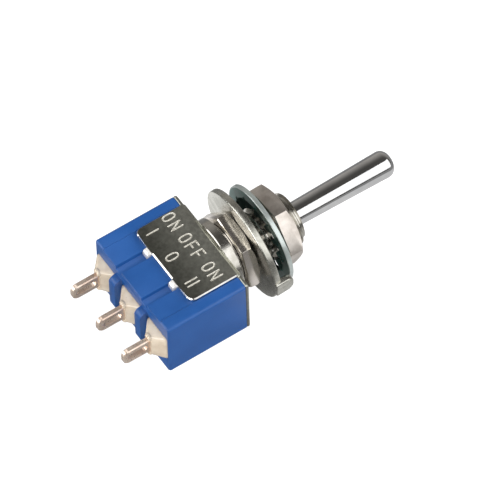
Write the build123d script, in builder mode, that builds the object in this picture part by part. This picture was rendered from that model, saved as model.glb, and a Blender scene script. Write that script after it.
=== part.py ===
from build123d import *
import os
from math import asin, cos, radians, sin, sqrt, tan

# Miniature three-position toggle switch with solder lugs, modelled as it is assembled.
#
# Frame: the origin is on the bushing's axis, in the plane where the back of a panel seats on the
# locating washer. +Z runs along the bushing to the lever's tip, X along the row of terminals, which is
# also the way the lever swings, and -Y points out of the marked side. Sizes are in millimetres.

# ---------------------------------------------------------------- driving sizes

# moulded case
case_width = 13.4  # X
case_depth = 7.6  # Y
case_height = 9.35  # Z, from the underside of the frame's plate to the terminal end
case_corner = 0.35  # upright corners of the case and of the frame's plate
rim_bevel = 0.15  # edge bevel at the terminal end
end_wall = 0.8  # cavity walls along X
side_wall = 1.1  # cavity walls along Y
floor_thickness = 2.0  # cavity floor, with the potting wells in it
groove_width = 1.05  # upright grooves in the broad sides
groove_depth = 0.6
barrier_reach = 0.95  # tongues between the lugs, past the terminal end
barrier_depth = 5.0
barrier_corner = 0.8
well_depth = 1.2  # potting wells in the terminal end
well_width = 3.6
well_end_wall = 0.3  # between an outer well and the end of the case

# folded steel frame
frame_gauge = 0.4
leg_width = 10.4
leg_length = 6.05  # from the frame's top face to the leg's lower edge
leg_recess = 0.1  # depth of the shallow seat for a leg in the case
leg_corner = 0.8
fold_radius = 0.5
tab_outer_bend = 0.55

# turned bushing
thread_radius = 2.97
thread_length = 7.9
thread_chamfer = 0.35
collar_radius = 4.3
collar_height = 1.5
collar_bevel = 0.25
neck_radius = 3.8
neck_height = 0.05
spigot_radius = 3.3
spigot_half_flat = 2.6
stake_flange = 0.2
stake_height = 0.35
keyway_width = 0.9
keyway_depth = 0.45
keyway_turn = 33.0  # degrees from +X towards +Y
keyway_start = 0.6  # above the collar
ball_seat_angle = 59.0  # degrees between the bushing's axis and the line square to the seat
throat_land = 0.1  # straight length of the throat

# lever, turned in one piece, and what its stem holds
pivot_height = 5.75  # from the frame's top face up to the cross pin
swing = 12.5  # degrees each way
ball_radius = 2.08
lever_reach = 21.5  # from the frame's top face to the tip
lever_neck_radius = 1.27
lever_tip_radius = 1.47
lever_tip_round = 0.75
stem_radius = 1.15
stem_gap = 2.3  # between the rocker's trough and the stem's mouth
stem_bore_radius = 0.8
stem_bore_depth = 6.3
pin_radius = 0.4
pin_overhang = 0.28  # past the ball at each end
plunger_engagement = 2.0  # length of the plunger inside the stem
plunger_guide_length = 1.7
plunger_tip_radius = 0.65
wire_diameter = 0.2
spring_turns = 4

# contacts and terminals
terminal_pitch = 4.7
blade_thickness = 0.6
lug_width = 2.0
lug_reach = 4.3  # past the case's terminal end
lug_tip_round = 0.75
lug_slot_width = 0.85
lug_slot_length = 2.3
lug_slot_margin = 0.5  # from the slot's end to the lug's tip
shoulder_width = 3.1
shoulder_reach = 1.1
wing_width = 3.9  # stop of a terminal on the cavity floor
fulcrum_height = 1.78  # from the cavity floor up to the fulcrum's crest
rocker_gauge = 0.4
rocker_width = 3.0
rocker_neck_width = 1.8
rocker_end_margin = 0.05  # past the buttons
trough_margin = 0.45  # past the plunger's travel
shoulder_run = 0.75  # X distance over which an arm drops to its pad
rocker_tilt = 6.0  # degrees each way
button_radius = 0.8
button_height = 0.3
button_bevel = 0.12
contact_inset = 0.5  # from a terminal's middle plane inwards to its button
seal_rise = 1.15  # how far the potting climbs a terminal
seal_top_length = 1.3  # X, the potting's top
seal_film = 0.1  # thickness left at the sides of a shoulder

# mounting hardware on the thread
nut_across_flats = 8.0
nut_height = 1.8
inner_nut_height = 1.45
nut_chamfer_radius = 3.85
nut_chamfer_angle = 30.0
nut_mouth_bevel = 0.2
inner_nut_turn = -80.0  # direction of one flat, degrees from +X towards +Y
outer_nut_turn = -40.0
inner_nut_gap = 0.05  # between the collar and the inner nut
washer_gap = 0.6  # between the inner nut and the locating washer
locating_radius = 6.25
locating_thickness = 0.75
tab_up_width = 2.5
tab_up_reach = 1.65  # above the panel seat
tab_up_corner = 1.0
lock_radius = 5.55
lock_ring_width = 1.35
lock_thickness = 0.5
lock_teeth = 12
lock_tooth_width = 1.05
lock_tooth_twist = 20.0
lock_tooth_gap = 0.12  # between a tooth's tip and the thread
panel_space = 1.4  # left between the locating washer and the lock washer's ring

# clearances
run_gap = 0.02  # between pieces that slide or turn in one another
slip_gap = 0.03  # between pieces that slip over one another at assembly
seat_gap = 0.02  # between pieces that touch across a joint
throat_gap = 0.1  # between the swung lever and the throat
mouth_gap = 0.2  # between the swung lever and the bushing's mouth

# ---------------------------------------------------------------- heights that follow

inner_nut_top = neck_height + collar_height + inner_nut_gap + inner_nut_height  # above the plate
seat_height = inner_nut_top + washer_gap + locating_thickness
frame_top = -seat_height
case_top = frame_top - frame_gauge
case_end = case_top - case_height
floor_top = case_end + floor_thickness
well_top = case_end + well_depth
leg_end = frame_top - leg_length
pivot_z = frame_top + pivot_height
collar_bottom = frame_top + neck_height
collar_top = collar_bottom + collar_height
thread_top = collar_top + thread_length
lever_tip = frame_top + lever_reach
fulcrum_z = floor_top + fulcrum_height
rocker_under = fulcrum_z + seat_gap
rocker_top = rocker_under + rocker_gauge
tip_bottom = rocker_top + seat_gap
stem_mouth = rocker_top + stem_gap
tip_centre = tip_bottom + plunger_tip_radius
lug_tip = case_end - lug_reach
shoulder_end = case_end - shoulder_reach
leg_inner = case_depth / 2 - leg_recess
overall_half_depth = leg_inner + frame_gauge
barrier_x = terminal_pitch / 2

os.makedirs("parts", exist_ok=True)


def double_d(radius, half_flat):
    """A circle cut by two flats that face +Y and -Y, added to the sketch in hand."""
    Circle(radius)
    Rectangle(2 * radius, 2 * half_flat, mode=Mode.INTERSECT)


# ---------------------------------------------------------------- case
# One thermoset moulding: an open-topped box with a mechanism cavity, potting wells and barrier
# tongues between the lugs, and grooves that the frame's tabs hook into.

cavity_length = case_width - 2 * end_wall
cavity_width = case_depth - 2 * side_wall
groove_top = leg_end - tab_outer_bend + frame_gauge + slip_gap
outer_well_length = case_width / 2 - well_end_wall - barrier_x - groove_width / 2
outer_well_x = case_width / 2 - well_end_wall - outer_well_length / 2
inner_well_length = terminal_pitch - groove_width
seal_places = {
    "left": (-outer_well_x, outer_well_length, -terminal_pitch),
    "centre": (0, inner_well_length, 0),
    "right": (outer_well_x, outer_well_length, terminal_pitch),
}

with BuildPart() as case:
    with BuildSketch(Plane.XY.offset(case_end)):
        RectangleRounded(case_width, case_depth, case_corner)
    extrude(amount=case_height)
    chamfer(case.faces().sort_by(Axis.Z)[0].edges(), rim_bevel)
    # seats for the frame's legs, run out to the terminal end
    with BuildSketch(Plane.XY.offset(case_end)):
        with GridLocations(0, case_depth - leg_recess, 1, 2):
            Rectangle(leg_width + 2 * slip_gap, leg_recess)
    extrude(amount=case_height, mode=Mode.SUBTRACT)
    with BuildSketch(Plane.XY.offset(case_end)):
        with GridLocations(2 * barrier_x, case_depth - groove_depth, 2, 2):
            Rectangle(groove_width, groove_depth)
    extrude(amount=groove_top - case_end, mode=Mode.SUBTRACT)
    with BuildSketch(Plane.XY.offset(floor_top)):
        Rectangle(cavity_length, cavity_width)
    extrude(amount=case_top - floor_top, mode=Mode.SUBTRACT)
    # relief for the bushing's staked rim
    with BuildSketch(Plane.XY.offset(case_top)):
        double_d(spigot_radius + stake_flange + 0.2, spigot_half_flat + stake_flange + 0.2)
    extrude(amount=-stake_height - 0.1, mode=Mode.SUBTRACT)
    for place, length, _ in seal_places.values():
        with BuildSketch(Plane.XY.offset(case_end)):
            with Locations((place, 0)):
                Rectangle(length, well_width)
        extrude(amount=well_depth, mode=Mode.SUBTRACT)
    with BuildSketch(Plane.XY.offset(well_top)):
        with GridLocations(terminal_pitch, 0, 3, 1):
            Rectangle(blade_thickness + 2 * slip_gap, shoulder_width + 2 * slip_gap)
    extrude(amount=floor_top - well_top, mode=Mode.SUBTRACT)
    for x in (-barrier_x, barrier_x):
        with BuildSketch(Plane.YZ.offset(x)) as tongue:
            with Locations((0, case_end - barrier_reach / 2 + rim_bevel / 2)):
                Rectangle(barrier_depth, barrier_reach + rim_bevel)
            fillet(tongue.vertices().group_by(Axis.Y)[0], barrier_corner)
        extrude(amount=groove_width / 2, both=True)
case.part.label = "case"
export_step(case.part, "parts/case.step")

# ---------------------------------------------------------------- frame
# One nickel-plated steel blank: a plate over the case's open top, two legs folded down its broad
# sides, and two tabs on each leg bent in under the case's groove ends.

with BuildPart() as frame:
    with BuildSketch(Plane.XY.offset(case_top)):
        RectangleRounded(case_width, case_depth, case_corner)
    extrude(amount=frame_gauge)
    with BuildSketch(Plane.YZ) as fold:
        with Locations((0, (frame_top + leg_end) / 2)):
            Rectangle(2 * overall_half_depth, leg_length)
        fillet(fold.vertices().group_by(Axis.Y)[-1], fold_radius)
        with Locations((0, (case_top + leg_end) / 2)):
            Rectangle(2 * leg_inner, case_top - leg_end, mode=Mode.SUBTRACT)
    extrude(amount=leg_width / 2, both=True)
    leg_edges = frame.edges().filter_by(Axis.Y).group_by(Axis.Z)[0]
    fillet(leg_edges, leg_corner)
    for side in (-1, 1):
        bend_y = side * (overall_half_depth - tab_outer_bend)
        hook_y = side * (case_depth / 2 - groove_depth + 2 * slip_gap)
        tab_inner_bend = tab_outer_bend - frame_gauge
        diagonal = sin(radians(45))
        with BuildSketch(Plane.YZ):
            with BuildLine():
                outer_start = (side * overall_half_depth, leg_end)
                outer_end = (bend_y, leg_end - tab_outer_bend)
                outer_mid = (
                    bend_y + side * tab_outer_bend * diagonal,
                    leg_end - tab_outer_bend * diagonal,
                )
                inner_start = (side * leg_inner, leg_end)
                inner_end = (bend_y, leg_end - tab_inner_bend)
                inner_mid = (
                    bend_y + side * tab_inner_bend * diagonal,
                    leg_end - tab_inner_bend * diagonal,
                )
                hook_outer = (hook_y, leg_end - tab_outer_bend)
                hook_inner = (hook_y, leg_end - tab_inner_bend)
                ThreePointArc(outer_start, outer_mid, outer_end)
                Polyline(outer_end, hook_outer, hook_inner, inner_end)
                ThreePointArc(inner_end, inner_mid, inner_start)
                Line(inner_start, outer_start)
            make_face()
        tab_blank = extrude(amount=groove_width / 2 - slip_gap, both=True, mode=Mode.PRIVATE)
        with Locations((-barrier_x, 0, 0), (barrier_x, 0, 0)):
            add(tab_blank)
    with BuildSketch(Plane.XY.offset(case_top)):
        double_d(spigot_radius + slip_gap, spigot_half_flat + slip_gap)
    extrude(amount=frame_gauge, mode=Mode.SUBTRACT)
frame.part.label = "frame"
export_step(frame.part, "parts/frame.step")

# ---------------------------------------------------------------- bushing
# Turned brass, nickel plated: a polished collar, a threaded neck with a keyway, and below the collar
# a spigot with two flats, staked over under the frame. The lever's ball seats under the throat.

bore_radius = ball_radius + run_gap
stake_bottom = case_top - stake_height
seat_sine = sin(radians(ball_seat_angle))
seat_cosine = cos(radians(ball_seat_angle))
swing_slope = tan(radians(swing))
swung_neck = lever_neck_radius / cos(radians(swing))
# the seat cone runs from the bore up to the throat, run_gap clear of the ball, and the throat is
# where the swung lever's neck is throat_gap away from the cone
seat_start_rise = (bore_radius - bore_radius * seat_sine) / seat_cosine
throat_rise = (bore_radius / seat_sine - swung_neck - throat_gap) / (swing_slope + seat_cosine / seat_sine)
throat_radius = throat_rise * swing_slope + swung_neck + throat_gap
mouth_radius = (thread_top - pivot_z) * swing_slope + swung_neck + mouth_gap


def swing_half_width(z):
    """Half the room along X that the swinging stem needs at height z, below the pin."""
    swept = (pivot_z - z) * swing_slope
    return swept + (stem_radius + 2 * slip_gap) / cos(radians(swing))


with BuildPart() as bushing:
    with BuildSketch(Plane.XZ):
        with BuildLine():
            Polyline(
                (0, frame_top),
                (neck_radius, frame_top),
                (neck_radius, collar_bottom),
                (collar_radius, collar_bottom),
                (collar_radius, collar_top),
                (thread_radius, collar_top),
                (thread_radius, thread_top - thread_chamfer),
                (thread_radius - thread_chamfer, thread_top),
                (0, thread_top),
                close=True,
            )
        make_face()
    revolve(axis=Axis.Z)
    collar_rims = bushing.edges().filter_by(GeomType.CIRCLE).group_by(lambda edge: edge.radius)[-1]
    chamfer(collar_rims, collar_bevel)
    with BuildSketch(Plane.XY.offset(case_top)):
        double_d(spigot_radius, spigot_half_flat)
    extrude(amount=frame_gauge)
    with BuildSketch(Plane.XY.offset(case_top)):
        double_d(spigot_radius + stake_flange, spigot_half_flat + stake_flange)
    extrude(amount=-stake_height)
    with BuildSketch(Plane.XZ):
        with BuildLine():
            Polyline(
                (0, stake_bottom),
                (bore_radius, stake_bottom),
                (bore_radius, pivot_z + seat_start_rise),
                (throat_radius, pivot_z + throat_rise),
                (throat_radius, pivot_z + throat_rise + throat_land),
                (mouth_radius, thread_top),
                (0, thread_top),
                close=True,
            )
        make_face()
    revolve(axis=Axis.Z, mode=Mode.SUBTRACT)
    # room for the stem's swing, wider towards the bottom
    flare_top = pivot_z - ball_radius - stem_radius
    with BuildSketch(Plane.XZ):
        with BuildLine():
            Polyline(
                (-swing_half_width(stake_bottom), stake_bottom),
                (swing_half_width(stake_bottom), stake_bottom),
                (swing_half_width(flare_top), flare_top),
                (-swing_half_width(flare_top), flare_top),
                close=True,
            )
        make_face()
    extrude(amount=stem_radius + slip_gap * 2, both=True, mode=Mode.SUBTRACT)
    # two slots that the cross pin's ends run up to their seats in
    slot_reach = ball_radius + pin_overhang + slip_gap
    with BuildSketch(Plane.XZ):
        with Locations((0, pivot_z)):
            Circle(pin_radius + run_gap)
        with Locations((0, (pivot_z + stake_bottom) / 2)):
            Rectangle(2 * (pin_radius + run_gap), pivot_z - stake_bottom)
    extrude(amount=slot_reach, both=True, mode=Mode.SUBTRACT)
    with BuildSketch(Plane.XY.offset(collar_top + keyway_start)):
        with PolarLocations(thread_radius, 1, start_angle=keyway_turn):
            Rectangle(2 * keyway_depth, keyway_width)
    extrude(amount=thread_length - keyway_start, mode=Mode.SUBTRACT)
bushing.part.label = "bushing"
export_step(bushing.part, "parts/bushing.step")

# ---------------------------------------------------------------- lever
# Turned brass, chrome plated, in one piece: the tapered bat, the ball and a hollow stem.

with BuildPart() as lever:
    with BuildSketch(Plane.XZ):
        with BuildLine():
            ball_low = (stem_radius, pivot_z - sqrt(ball_radius**2 - stem_radius**2))
            ball_high = (lever_neck_radius, pivot_z + sqrt(ball_radius**2 - lever_neck_radius**2))
            Polyline((0, stem_mouth), (stem_radius, stem_mouth), ball_low)
            ThreePointArc(ball_low, (ball_radius, pivot_z), ball_high)
            Polyline(
                ball_high,
                (lever_neck_radius, thread_top),
                (lever_tip_radius, lever_tip - lever_tip_round),
                (lever_tip_radius, lever_tip),
                (0, lever_tip),
                (0, stem_mouth),
            )
        make_face()
    revolve(axis=Axis.Z)
    fillet(lever.edges().sort_by(Axis.Z)[-1], lever_tip_round)
    with BuildSketch(Plane.XY.offset(stem_mouth)):
        Circle(stem_bore_radius)
    extrude(amount=stem_bore_depth, mode=Mode.SUBTRACT)
    with BuildSketch(Plane.XZ):
        with Locations((0, pivot_z)):
            Circle(pin_radius)
    extrude(amount=ball_radius, both=True, mode=Mode.SUBTRACT)
lever.part.label = "lever"
export_step(lever.part, "parts/lever.step")

# ---------------------------------------------------------------- pivot pin
# A hardened steel pin pressed through the ball; its ends seat in the bushing's two slots.

with BuildPart() as pivot_pin:
    with BuildSketch(Plane.XZ):
        with Locations((0, pivot_z)):
            Circle(pin_radius)
    extrude(amount=ball_radius + pin_overhang, both=True)
pivot_pin.part.label = "pivot_pin"
export_step(pivot_pin.part, "parts/pivot_pin.step")

# ---------------------------------------------------------------- plunger
# A moulded acetal follower that slides in the lever's stem and presses on the rocker.

guide_radius = stem_bore_radius - run_gap
plunger_top = stem_mouth + plunger_engagement
with BuildPart() as plunger:
    with BuildSketch(Plane.XZ):
        with BuildLine():
            Polyline(
                (0, plunger_top),
                (guide_radius, plunger_top),
                (guide_radius, plunger_top - plunger_guide_length),
                (plunger_tip_radius, plunger_top - plunger_guide_length),
                (plunger_tip_radius, tip_centre),
            )
            RadiusArc((plunger_tip_radius, tip_centre), (0, tip_bottom), plunger_tip_radius)
            Line((0, tip_bottom), (0, plunger_top))
        make_face()
    revolve(axis=Axis.Z)
plunger.part.label = "plunger"
export_step(plunger.part, "parts/plunger.step")

# ---------------------------------------------------------------- plunger spring
# Music wire, between the plunger's head and the blind end of the stem's bore.

spring_low = plunger_top + wire_diameter / 2 + seat_gap
spring_high = stem_mouth + stem_bore_depth - wire_diameter / 2 - seat_gap
coil_radius = stem_bore_radius - wire_diameter / 2 - 2 * slip_gap
with BuildPart() as plunger_spring:
    with BuildLine() as coil:
        Helix(
            pitch=(spring_high - spring_low) / spring_turns,
            height=spring_high - spring_low,
            radius=coil_radius,
            center=(0, 0, spring_low),
        )
    with BuildSketch(Plane(origin=coil.line @ 0, z_dir=coil.line % 0)):
        Rectangle(wire_diameter, wire_diameter)
    sweep(path=coil.line, is_frenet=True)
plunger_spring.part.label = "plunger_spring"
export_step(plunger_spring.part, "parts/plunger_spring.step")

# ---------------------------------------------------------------- rocker
# A silver-plated strip bent to a W: the plunger rides in its trough, its notches straddle the centre
# terminal's ears, and each end carries a contact button.

# where the plunger's tip stands at full swing, seen from the rocker
tip_arm = pivot_z - tip_centre
swing_x = -tip_arm * sin(radians(swing))
swing_z = pivot_z - tip_arm * cos(radians(swing)) - rocker_under
tilt = radians(rocker_tilt)
path_x = swing_x * cos(tilt) + swing_z * sin(tilt)
path_rise = -swing_x * sin(tilt) + swing_z * cos(tilt) - (tip_centre - rocker_under)
path_radius = (path_x**2 + path_rise**2) / (2 * path_rise)
trough_radius = path_radius + plunger_tip_radius + 2 * seat_gap
trough_half_length = abs(path_x) + trough_margin
trough_rise = trough_radius - sqrt(trough_radius**2 - trough_half_length**2)
under_radius = trough_radius + rocker_gauge
under_half_length = trough_half_length * under_radius / trough_radius
under_rise = under_radius - sqrt(under_radius**2 - under_half_length**2)
contact_x = terminal_pitch - contact_inset
rocker_half_length = contact_x + button_radius + rocker_end_margin

with BuildPart() as rocker:
    with BuildSketch(Plane.XZ):
        with BuildLine():
            crest = (trough_half_length, rocker_top + trough_rise)
            foot_x = trough_half_length + shoulder_run
            ThreePointArc((-crest[0], crest[1]), (0, rocker_top), crest)
            for side in (-1, 1):
                Polyline(
                    (side * crest[0], crest[1]),
                    (side * foot_x, rocker_top),
                    (side * rocker_half_length, rocker_top),
                    (side * rocker_half_length, rocker_under),
                    (side * (foot_x - rocker_gauge / 2), rocker_under),
                    (side * under_half_length, rocker_under + under_rise),
                )
            ThreePointArc(
                (-under_half_length, rocker_under + under_rise),
                (0, rocker_under),
                (under_half_length, rocker_under + under_rise),
            )
        make_face()
    extrude(amount=rocker_width / 2, both=True)
    notch_length = blade_thickness + 2 * (slip_gap + rocker_gauge * sin(tilt) + slip_gap)
    notch_depth = (rocker_width - rocker_neck_width) / 2
    with BuildSketch(Plane.XY.offset(rocker_under)):
        with GridLocations(0, rocker_width - notch_depth, 1, 2):
            Rectangle(notch_length, notch_depth)
    extrude(amount=2 * rocker_gauge, mode=Mode.SUBTRACT)
rocker.part.label = "rocker"
export_step(rocker.part, "parts/rocker.step")

# ---------------------------------------------------------------- contact buttons
# Silver discs brazed on: two under the rocker's ends and two on the end terminals, faces facing.


def contact_button(x, seat, height):
    """A disc on the seat plane, rising or hanging by the signed height, bevelled round its free face."""
    with BuildPart() as button:
        with BuildSketch(Plane.XY.offset(seat)):
            with Locations((x, 0)):
                Circle(button_radius)
        extrude(amount=height)
        free_rim = button.edges().filter_by(GeomType.CIRCLE).sort_by(Axis.Z)[-1 if height > 0 else 0]
        chamfer(free_rim, button_bevel)
    return button


for name, side in (("left", -1), ("right", 1)):
    button = contact_button(side * contact_x, rocker_under, -button_height)
    button.part.label = f"{name}_rocker_button"
    export_step(button.part, f"parts/{name}_rocker_button.step")

# the fixed heads stand where a tilted rocker's button reaches, seat_gap short of touching
button_drop = contact_x * sin(tilt) + button_height * cos(tilt) + button_radius * sin(tilt)
fixed_face = rocker_under - button_drop - seat_gap
pad_thickness = fixed_face - button_height - floor_top
pad_top = floor_top + pad_thickness

for name, side in (("left", -1), ("right", 1)):
    button = contact_button(side * contact_x, pad_top, button_height)
    button.part.label = f"{name}_fixed_button"
    export_step(button.part, f"parts/{name}_fixed_button.step")

# ---------------------------------------------------------------- terminals
# Stamped brass blades, silver plated, dropped through the floor from inside: a shoulder through the
# potting, a slotted solder lug below, and above the floor either a bent pad or the rocker's fulcrum.


def lug_outline():
    """Shoulder and solder lug in the YZ plane, added to the sketch in hand."""
    with Locations((0, (floor_top + shoulder_end) / 2)):
        Rectangle(shoulder_width, floor_top - shoulder_end)
    with Locations((0, (shoulder_end + lug_tip) / 2)):
        tongue = Rectangle(lug_width, shoulder_end - lug_tip)
    fillet(tongue.vertices().group_by(Axis.Y)[0], lug_tip_round)
    with Locations((0, lug_tip + lug_slot_margin + lug_slot_length / 2)):
        SlotOverall(lug_slot_length, lug_slot_width, rotation=90, mode=Mode.SUBTRACT)


for name, side in (("left", -1), ("right", 1)):
    pad_length = contact_inset + button_radius + blade_thickness / 2 + 2 * slip_gap
    pad_middle = side * (terminal_pitch + blade_thickness / 2 - pad_length / 2)
    with BuildPart() as terminal:
        with BuildSketch(Plane.YZ.offset(side * terminal_pitch)):
            lug_outline()
        extrude(amount=blade_thickness / 2, both=True)
        with BuildSketch(Plane.XY.offset(floor_top)):
            with Locations((pad_middle, 0)):
                Rectangle(pad_length, wing_width)
        extrude(amount=pad_thickness)
    terminal.part.label = f"{name}_terminal"
    export_step(terminal.part, f"parts/{name}_terminal.step")

ear_inner = rocker_neck_width / 2 + slip_gap
ear_outer = rocker_width / 2
ear_top = rocker_top + rocker_gauge
wing_height = pad_thickness
crest_radius = blade_thickness / 2
with BuildPart() as centre_terminal:
    with BuildSketch(Plane.YZ):
        lug_outline()
        with Locations((0, floor_top + wing_height / 2)):
            Rectangle(wing_width, wing_height)
        with Locations((0, (floor_top + fulcrum_z) / 2)):
            Rectangle(2 * ear_outer, fulcrum_z - floor_top)
        with GridLocations(ear_inner + ear_outer, 0, 2, 1):
            with Locations((0, (floor_top + ear_top) / 2)):
                Rectangle(ear_outer - ear_inner, ear_top - floor_top)
    extrude(amount=blade_thickness / 2, both=True)
    # the crest between the ears is rounded, so the rocker rolls on a line
    with BuildSketch(Plane.XZ):
        with Locations((0, fulcrum_z - crest_radius / 2)):
            Rectangle(2 * crest_radius, crest_radius)
        with Locations((0, fulcrum_z - crest_radius)):
            Circle(crest_radius, mode=Mode.SUBTRACT)
    extrude(amount=ear_inner, both=True, mode=Mode.SUBTRACT)
centre_terminal.part.label = "centre_terminal"
export_step(centre_terminal.part, "parts/centre_terminal.step")

# ---------------------------------------------------------------- terminal seals
# Cream epoxy poured into each well, drawn up the terminal into a concave fillet as it cured.

for name, (place, length, terminal_x) in seal_places.items():
    with BuildPart() as seal:
        with BuildSketch(Plane.XY.offset(case_end)):
            with Locations((place, 0)):
                Rectangle(length, well_width)
        extrude(amount=well_depth)
        with BuildSketch(Plane.XY.offset(case_end)):
            with Locations((place, 0)):
                Rectangle(length, well_width)
        with BuildSketch(Plane.XY.offset(case_end - seal_rise / 2)):
            with Locations(((place + terminal_x) / 2, 0)):
                Rectangle((length + seal_top_length) / 2, (well_width + shoulder_width) / 2)
        with BuildSketch(Plane.XY.offset(case_end - seal_rise)):
            with Locations((terminal_x, 0)):
                Rectangle(seal_top_length, shoulder_width + 2 * seal_film)
        loft(ruled=True)
        with BuildSketch(Plane.XY.offset(case_end - 2 * seal_rise)):
            with Locations((terminal_x, 0)):
                Rectangle(blade_thickness, shoulder_width)
        extrude(amount=2 * seal_rise + well_depth, mode=Mode.SUBTRACT)
    seal.part.label = f"{name}_terminal_seal"
    export_step(seal.part, f"parts/{name}_terminal_seal.step")

# ---------------------------------------------------------------- mounting nuts
# Two nickel-plated hexagon nuts on the thread. The inner one is thinner and has its sharp face against
# the collar; the outer one is chamfered on both faces.


def mounting_nut(bottom, height, turn, sharp_face):
    """A hexagon nut standing on the height bottom, with one flat facing the direction turn."""
    top = bottom + height
    blank_radius = nut_across_flats * 0.6
    chamfer_height = (blank_radius - nut_chamfer_radius) * tan(radians(nut_chamfer_angle))
    foot_radius = blank_radius if sharp_face else nut_chamfer_radius
    with BuildPart() as nut:
        with BuildSketch(Plane.XY.offset(bottom)):
            RegularPolygon(nut_across_flats / 2, 6, major_radius=False, rotation=turn + 30)
        extrude(amount=height)
        with BuildSketch(Plane.XZ):
            with BuildLine():
                Polyline(
                    (0, bottom),
                    (foot_radius, bottom),
                    (blank_radius, bottom + chamfer_height),
                    (blank_radius, top - chamfer_height),
                    (nut_chamfer_radius, top),
                    (0, top),
                    close=True,
                )
            make_face()
        revolve(axis=Axis.Z, mode=Mode.INTERSECT)
        with BuildSketch(Plane.XY.offset(bottom)):
            Circle(thread_radius + slip_gap)
        extrude(amount=height, mode=Mode.SUBTRACT)
        bore_edges = nut.edges().filter_by(GeomType.CIRCLE).group_by(lambda edge: edge.radius)[0]
        chamfer(bore_edges.sort_by(Axis.Z)[-1], nut_mouth_bevel)
    return nut


inner_nut = mounting_nut(collar_top + inner_nut_gap, inner_nut_height, inner_nut_turn, True)
inner_nut.part.label = "inner_nut"
export_step(inner_nut.part, "parts/inner_nut.step")

# the nut stands on the lock washer's twisted teeth
lock_middle = panel_space + lock_thickness / 2
twist = radians(lock_tooth_twist)
tooth_rise = (lock_tooth_width * sin(twist) + lock_thickness * cos(twist)) / 2
outer_nut = mounting_nut(lock_middle + tooth_rise + seat_gap, nut_height, outer_nut_turn, False)
outer_nut.part.label = "outer_nut"
export_step(outer_nut.part, "parts/outer_nut.step")

# ---------------------------------------------------------------- locating washer
# A keyed steel ring: its inner key lies in the bushing's keyway, and its outer tab, bent up, goes
# through a small hole in the panel so the switch can't turn.

# the tab stands clear outside the lock washer
tab_outer = lock_radius + 2 * slip_gap + locating_thickness
with BuildPart() as locating_washer:
    with BuildSketch(Plane.XY.offset(-locating_thickness)):
        Circle(locating_radius)
        Circle(thread_radius + 2 * slip_gap, mode=Mode.SUBTRACT)
        key_inner = thread_radius - keyway_depth + slip_gap
        key_outer = thread_radius + 0.5
        with PolarLocations((key_inner + key_outer) / 2, 1, start_angle=keyway_turn):
            Rectangle(key_outer - key_inner, keyway_width - 2 * slip_gap)
        ear_inner_end = thread_radius + 1.0
        with PolarLocations((ear_inner_end + tab_outer) / 2, 1, start_angle=keyway_turn):
            Rectangle(tab_outer - ear_inner_end, tab_up_width)
    extrude(amount=locating_thickness)
    tab_plane = Plane.XZ.rotated((0, 0, keyway_turn + 90))
    with BuildSketch(tab_plane.offset(tab_outer - locating_thickness)) as tab:
        with Locations((0, (tab_up_reach - locating_thickness) / 2)):
            Rectangle(tab_up_width, tab_up_reach + locating_thickness)
        fillet(tab.vertices().group_by(Axis.Y)[-1], tab_up_corner)
    extrude(amount=locating_thickness)
locating_washer.part.label = "locating_washer"
export_step(locating_washer.part, "parts/locating_washer.step")

# ---------------------------------------------------------------- lock washer
# An internal-tooth ring of spring steel, green-passivated zinc, its teeth twisted to bite.

ring_inner = lock_radius - lock_ring_width
tooth_tip = thread_radius + lock_tooth_gap
tooth_length = ring_inner - tooth_tip + 0.25
with BuildPart() as lock_washer:
    with BuildSketch(Plane.XY.offset(panel_space)):
        Circle(lock_radius)
        Circle(ring_inner, mode=Mode.SUBTRACT)
    extrude(amount=lock_thickness)
    with Locations((0, 0, lock_middle)):
        with PolarLocations(tooth_tip + tooth_length / 2, lock_teeth):
            Box(tooth_length, lock_tooth_width, lock_thickness, rotation=(lock_tooth_twist, 0, 0))
lock_washer.part.label = "lock_washer"
export_step(lock_washer.part, "parts/lock_washer.step")
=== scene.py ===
import bmesh
import bpy
from math import asin, cos, pi, radians, sin, sqrt, tan
from mathutils import Matrix, Vector


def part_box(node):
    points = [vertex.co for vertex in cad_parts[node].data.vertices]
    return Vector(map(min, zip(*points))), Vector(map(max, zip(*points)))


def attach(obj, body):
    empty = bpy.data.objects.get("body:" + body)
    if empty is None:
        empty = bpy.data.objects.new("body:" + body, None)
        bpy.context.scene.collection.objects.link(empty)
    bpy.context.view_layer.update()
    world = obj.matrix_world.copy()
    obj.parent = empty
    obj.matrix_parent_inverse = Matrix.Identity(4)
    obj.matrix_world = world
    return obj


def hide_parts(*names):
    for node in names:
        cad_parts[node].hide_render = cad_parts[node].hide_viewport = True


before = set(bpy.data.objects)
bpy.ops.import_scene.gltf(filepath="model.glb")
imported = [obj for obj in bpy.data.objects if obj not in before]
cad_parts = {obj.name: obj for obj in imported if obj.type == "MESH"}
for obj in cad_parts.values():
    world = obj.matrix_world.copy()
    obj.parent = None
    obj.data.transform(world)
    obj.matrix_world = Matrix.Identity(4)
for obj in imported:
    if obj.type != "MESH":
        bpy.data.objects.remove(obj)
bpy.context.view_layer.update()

# ---------------------------------------------------------------- camera
# A long lens looks along the switch at its marked side, slightly from below, so that parallel edges
# stay parallel.

mm = 0.001
scene = bpy.context.scene
scene.view_settings.view_transform = "Standard"
sight_right = Vector((0.554, 0.020, 0.832)).normalized()
sight_up = Vector((-0.684, -0.549, 0.471))
sight_up = (sight_up - sight_right * sight_up.dot(sight_right)).normalized()
sight_back = sight_right.cross(sight_up)
view_centre = (0.065 * sight_right - 1.036 * sight_up) * mm
view_distance = 704 * mm
lens = bpy.data.cameras.new("camera")
lens.lens = 500
lens.sensor_width = 36
lens.clip_start = 0.01
lens.clip_end = 20
camera = bpy.data.objects.new("camera", lens)
turned = Matrix((sight_right, sight_up, sight_back)).transposed().to_4x4()
turned.translation = view_centre + sight_back * view_distance
camera.matrix_world = turned
scene.collection.objects.link(camera)
scene.camera = camera
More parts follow.
